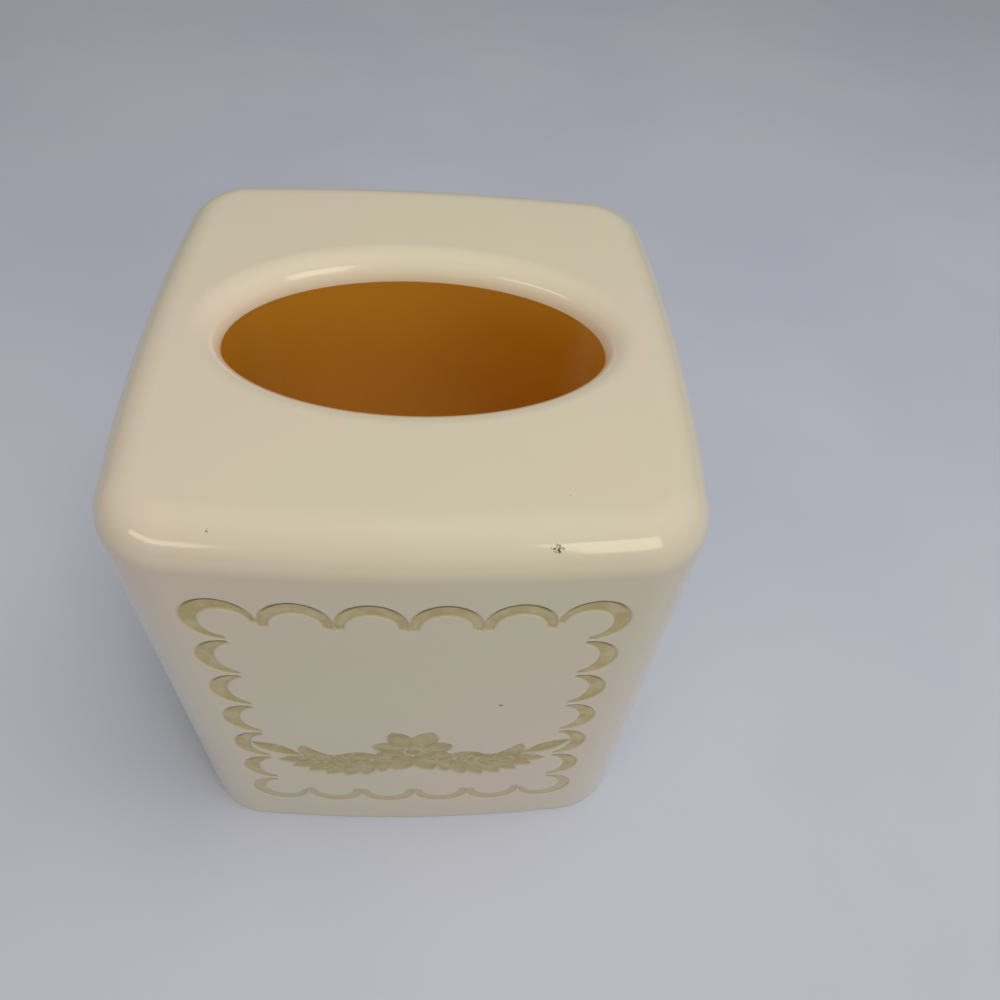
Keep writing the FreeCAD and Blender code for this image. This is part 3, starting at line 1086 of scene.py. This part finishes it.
    def faces(
        self, shape: tuple[int, int], panel: slice, on_panel: int
    ) -> tuple[np.ndarray, list[list[int]]]:
        """Which grid points the mesh keeps, and its faces.

        The panel keeps every ring. The other columns keep one panel ring in a stride, and
        the faces along the panel's two upright edges take in the rings between.

        Args:
            shape: Number of rings and of columns.
            panel: Slice of the rings on the panel.
            on_panel: Number of columns on the panel.

        Returns:
            A mask of the kept points, and the faces by the numbers of the kept points.
        """
        rings, columns = shape
        ring = np.arange(rings)
        first, last = panel.start, panel.stop - 1
        within = (ring > first) & (ring < last)
        coarse = ring[~within | ((ring - first) % self.coarse_stride == 0)]
        keep = np.ones(shape, dtype=bool)
        keep[:, on_panel:] = np.isin(ring, coarse)[:, None]
        number = np.where(keep, np.cumsum(keep).reshape(shape) - 1, -1)

        def quads(top: np.ndarray, foot: np.ndarray, left: np.ndarray) -> list[list[int]]:
            """Faces between pairs of rings and from each left column to the next one."""
            right = (left + 1) % columns
            corners = [(top, left), (foot, left), (foot, right), (top, right)]
            return np.stack([number[np.ix_(*corner)] for corner in corners], axis=-1).reshape(-1, 4).tolist()

        next_coarse = np.roll(coarse, -1)
        joined = (coarse >= first) & (coarse < last)
        seams = np.array((on_panel - 1, columns - 1))
        found = quads(ring, np.roll(ring, -1), np.arange(on_panel - 1))
        found += quads(coarse, next_coarse, np.arange(on_panel, columns - 1))
        found += quads(coarse[~joined], next_coarse[~joined], seams)
        for top, foot in zip(coarse[joined], next_coarse[joined]):
            edge = slice(top, foot + 1)
            ends = [foot, top]
            found.append(number[edge, on_panel - 1].tolist() + number[ends, on_panel].tolist())
            found.append(number[edge, 0][::-1].tolist() + number[ends[::-1], columns - 1].tolist())
        return keep, found

    def build(self, finish: bpy.types.Material) -> bpy.types.Object:
        """Make the moulding's mesh and dress it.

        Args:
            finish: The material of the whole moulding.

        Returns:
            The piece, at the origin.
        """
        points, normals, inside, wash, panel, on_panel = self.surface()
        keep, faces = self.faces(inside.shape, panel, on_panel)
        mesh = bpy.data.meshes.new("ivory_cover")
        mesh.from_pydata(points[keep].tolist(), [], faces)
        mesh.shade_smooth()
        mesh.normals_split_custom_set_from_vertices(normals[keep].tolist())
        for name, values in (("inside", inside), ("wash", wash)):
            layer = mesh.attributes.new(name, "FLOAT", "POINT")
            layer.data.foreach_set("value", values[keep].astype(np.float32))
        mesh.materials.append(finish)
        piece = bpy.data.objects.new("ivory_cover", mesh)
        bpy.context.scene.collection.objects.link(piece)
        return piece


@dataclass(frozen=True)
class SoftBox:
    """One soft lamp: where it stands, its size and power, and whether gloss mirrors it."""

    name: str
    azimuth: float
    elevation: float
    distance: float
    width: float
    height: float
    power: float
    tint: tuple[float, float, float] = (1.0, 0.88, 0.68)
    mirrored: bool = True

    def build(self, target: Vector) -> None:
        """Make the lamp and turn it to the target; azimuth 0 is in front, 90 to the right."""
        turn, rise = math.radians(self.azimuth), math.radians(self.elevation)
        level = math.cos(rise)
        out = Vector((math.sin(turn) * level, -math.cos(turn) * level, math.sin(rise)))
        lamp = bpy.data.lights.new(self.name, "AREA")
        lamp.shape = "RECTANGLE"
        lamp.size, lamp.size_y = self.width, self.height
        lamp.energy = self.power
        lamp.color = self.tint
        stand = bpy.data.objects.new(self.name, lamp)
        facing = out.to_track_quat("Z", "Y")
        stand.matrix_world = Matrix.LocRotScale(target + out * self.distance, facing, None)
        stand.visible_glossy = self.mirrored
        bpy.context.scene.collection.objects.link(stand)


@dataclass(frozen=True)
class Camera:
    """The photograph's view: where it looks, from where, and how it is turned."""

    target: Point = (24.33 * MM, 1.33 * MM, 77.5 * MM)
    azimuth: float = 7.41
    elevation: float = 51.275
    roll: float = 6.747
    distance: float = 239.8 * MM
    lens: float = 28.704

    def build(self) -> None:
        """Make the camera and set it as the scene's own."""
        turn, rise, roll = map(math.radians, (self.azimuth, self.elevation, self.roll))
        back = Vector((-math.sin(turn) * math.cos(rise), -math.cos(turn) * math.cos(rise), math.sin(rise)))
        right = Vector((math.cos(turn), -math.sin(turn), 0.0))
        up = back.cross(right)
        tilted_right = right * math.cos(roll) + up * math.sin(roll)
        tilted_up = up * math.cos(roll) - right * math.sin(roll)
        place = Vector(self.target) + back * self.distance
        data = bpy.data.cameras.new("photo_view")
        data.lens = self.lens
        data.sensor_width = 36.0
        data.clip_start = 10 * MM
        camera = bpy.data.objects.new("photo_view", data)
        axes = Matrix((tilted_right, tilted_up, back)).transposed()
        camera.matrix_world = Matrix.Translation(place) @ axes.to_4x4()
        bpy.context.scene.collection.objects.link(camera)
        bpy.context.scene.camera = camera


@dataclass
class Studio:
    """Floor, lamps, world light and camera."""

    floor_half: float = 4.0
    world_colour: Colour = srgb(233, 230, 222)
    world_strength: float = 0.22
    target: Point = (0.0, 0.0, 90 * MM)
    lamps: tuple[SoftBox, ...] = (
        SoftBox("left_window", -42.0, 25.0, 0.9, 0.52, 0.13, 0.6),
        SoftBox("right_window", 30.0, 33.0, 0.9, 0.34, 0.36, 1.1),
        SoftBox("overhead", 55.0, 75.0, 1.3, 0.9, 0.9, 11.2, (1.0, 1.0, 1.0), False),
    )

    def build(self, finish: bpy.types.Material) -> None:
        """Set out the stage.

        Args:
            finish: The floor's material.
        """
        half = self.floor_half
        mesh = bpy.data.meshes.new("floor")
        corners = [(-half, -half, 0), (half, -half, 0), (half, half, 0), (-half, half, 0)]
        mesh.from_pydata(corners, [], [(0, 1, 2, 3)])
        mesh.materials.append(finish)
        floor = bpy.data.objects.new("floor", mesh)
        bpy.context.scene.collection.objects.link(floor)
        world = bpy.data.worlds.new("pale_room")
        world.use_nodes = True
        sky = world.node_tree.nodes["Background"]
        sky.inputs["Color"].default_value = self.world_colour
        sky.inputs["Strength"].default_value = self.world_strength
        bpy.context.scene.world = world
        for lamp in self.lamps:
            lamp.build(Vector(self.target))
        Camera().build()
        bpy.context.scene.view_settings.view_transform = "Standard"


def front_scuffs(shell: CoverShell) -> tuple[Scuff, ...]:
    """Two dark scuffs on the front's top edge and one speck on the front, placed as in the photo."""
    edge = 4.0 * MM - shell.half_at(shell.height)
    return (
        Scuff((28.4 * MM, edge - 1.2 * MM, shell.height - 2.6 * MM), (1.6 * MM, 2.0 * MM, 1.5 * MM)),
        Scuff((-36.8 * MM, edge + 1.4 * MM, shell.height - 1.2 * MM), (0.8 * MM, 1.2 * MM, 1.0 * MM)),
        Scuff((21.8 * MM, -65.4 * MM, 80.2 * MM), (0.6 * MM, 0.6 * MM, 0.6 * MM)),
    )


def main() -> None:
    """Build the looks round the frame, piece by piece."""
    logging.basicConfig(level=logging.INFO, format="%(message)s")
    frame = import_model()
    _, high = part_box("cover_shell")
    scallops = ScallopFrame(FOOT_WIDTH, high.z)
    relief = Relief(scallops, Garland(scallops))
    shell = CoverShell(FOOT_WIDTH, high.z, relief)
    effects = Effects()
    ivory = IvoryPlastic(scuffs=front_scuffs(shell)).material(effects)
    gold = GoldWash().material(effects)
    golds = {}
    # Each frame wash carries painted shade under its lobes' upper edges.
    for name, pools in scallops.pools().items():
        golds[name] = FrameWash("gold_wash_" + name.removeprefix("gilt_"), pools=pools).material(effects)

    cover = shell.build(ivory)
    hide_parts("cover_shell")
    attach(cover, Body.COVER.value)
    LOG.info("cover moulding: %d faces", len(cover.data.polygons))
    for name, node in frame["nodes"].items():
        finish = golds.get(name, gold) if name.startswith("gilt") else ivory
        node.material_slots[0].material = finish
        LOG.info("%s: %s", name, finish.name)

    Studio().build(PaleFloor().material(effects))


if __name__ == "__main__":
    main()
